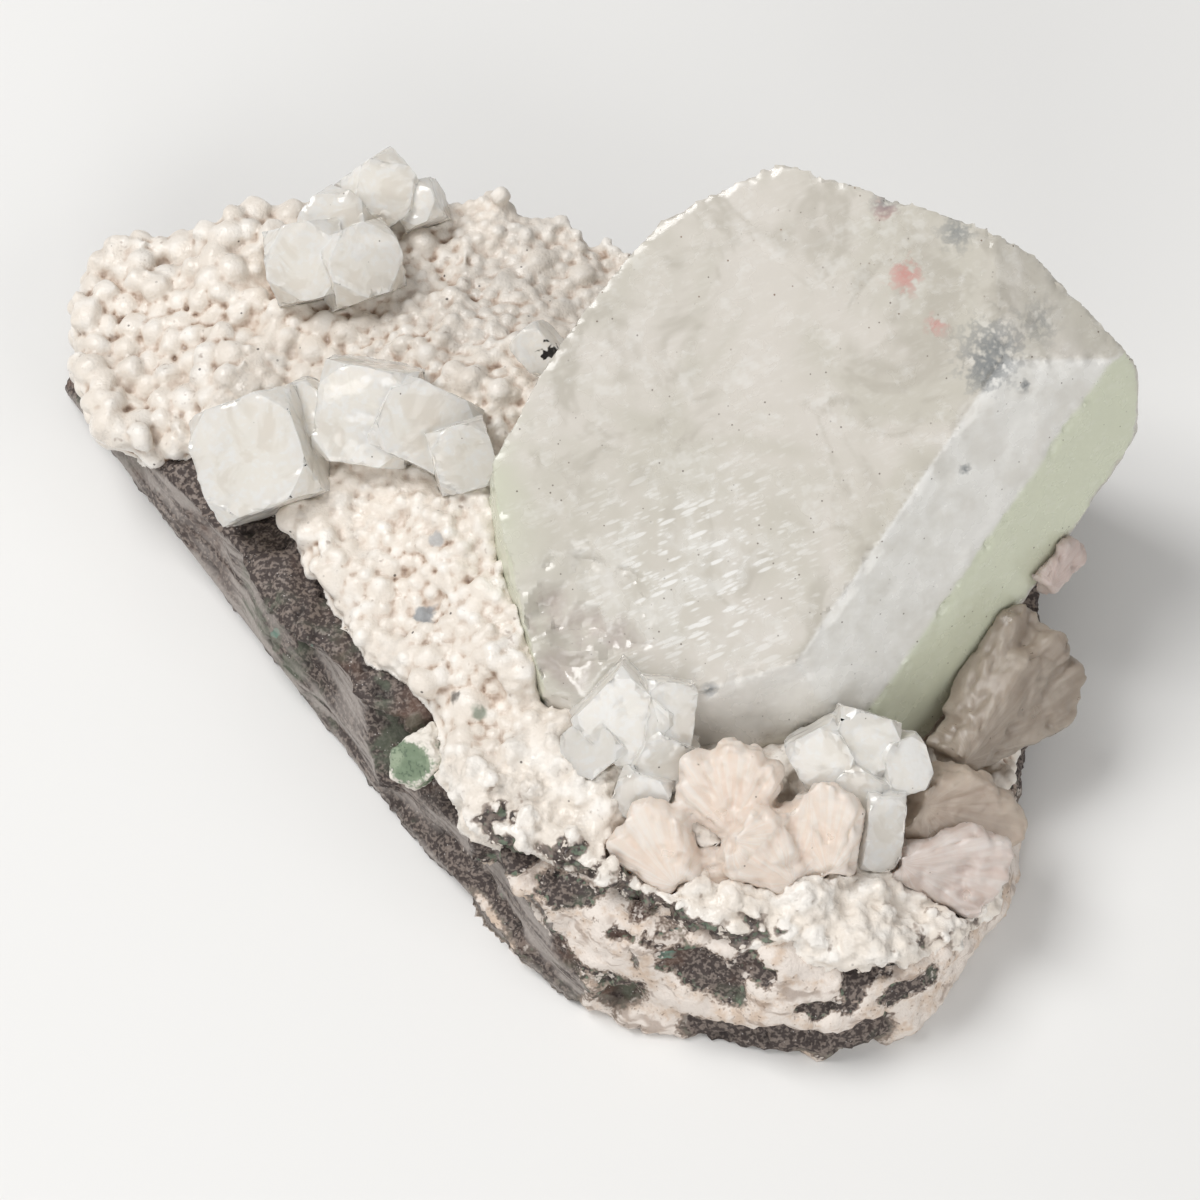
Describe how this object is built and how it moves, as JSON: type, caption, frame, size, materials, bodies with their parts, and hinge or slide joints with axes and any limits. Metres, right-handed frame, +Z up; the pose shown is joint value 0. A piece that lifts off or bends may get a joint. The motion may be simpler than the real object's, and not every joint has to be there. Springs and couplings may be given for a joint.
{
  "type": "apophyllite cluster",
  "caption": "Apophyllite cluster: a large pale green crystal and small clear ones with stilbite fans on a cream druse over a block of basalt.",
  "frame": {"origin": "middle of the bounding box in plan, on the flat base the specimen rests on", "axes": "+Z up, +X to the right along the longest side, +Y away from the viewer of the picture"},
  "size_m": [0.1182, 0.099, 0.0503],
  "materials": {
    "basalt": "rough dark basalt with layers and a sawn side",
    "druse": "cream and white knobbly crust, warm stain in the crevices",
    "pale_green_apophyllite": "milky pale green crystal with a satin lustre",
    "clear_apophyllite": "clear glassy crystal",
    "peach_stilbite": "peach translucent blades, pearly",
    "grey_stilbite": "grey-brown translucent blades, pearly",
    "tan_stilbite": "tan translucent blades, pearly",
    "pink_stilbite": "pinkish white jagged blades",
    "celadonite": "green earthy chip"
  },
  "bodies": {
    "root": {"basalt_matrix": "basalt", "druse_crust": "druse", "main_crystal": "pale_green_apophyllite", "clear_crystals_middle": "clear_apophyllite", "clear_crystals_top": "clear_apophyllite", "clear_crystal_gap": "clear_apophyllite", "clear_crystals_foot": "clear_apophyllite", "clear_crystals_front": "clear_apophyllite", "stilbite_fans_front": "peach_stilbite", "stilbite_blades_grey": "grey_stilbite", "stilbite_blade_tan": "tan_stilbite", "stilbite_blades_pink": "pink_stilbite", "stilbite_blade_rim": "pink_stilbite", "celadonite_chip": "celadonite"}
  },
  "joints": []
}
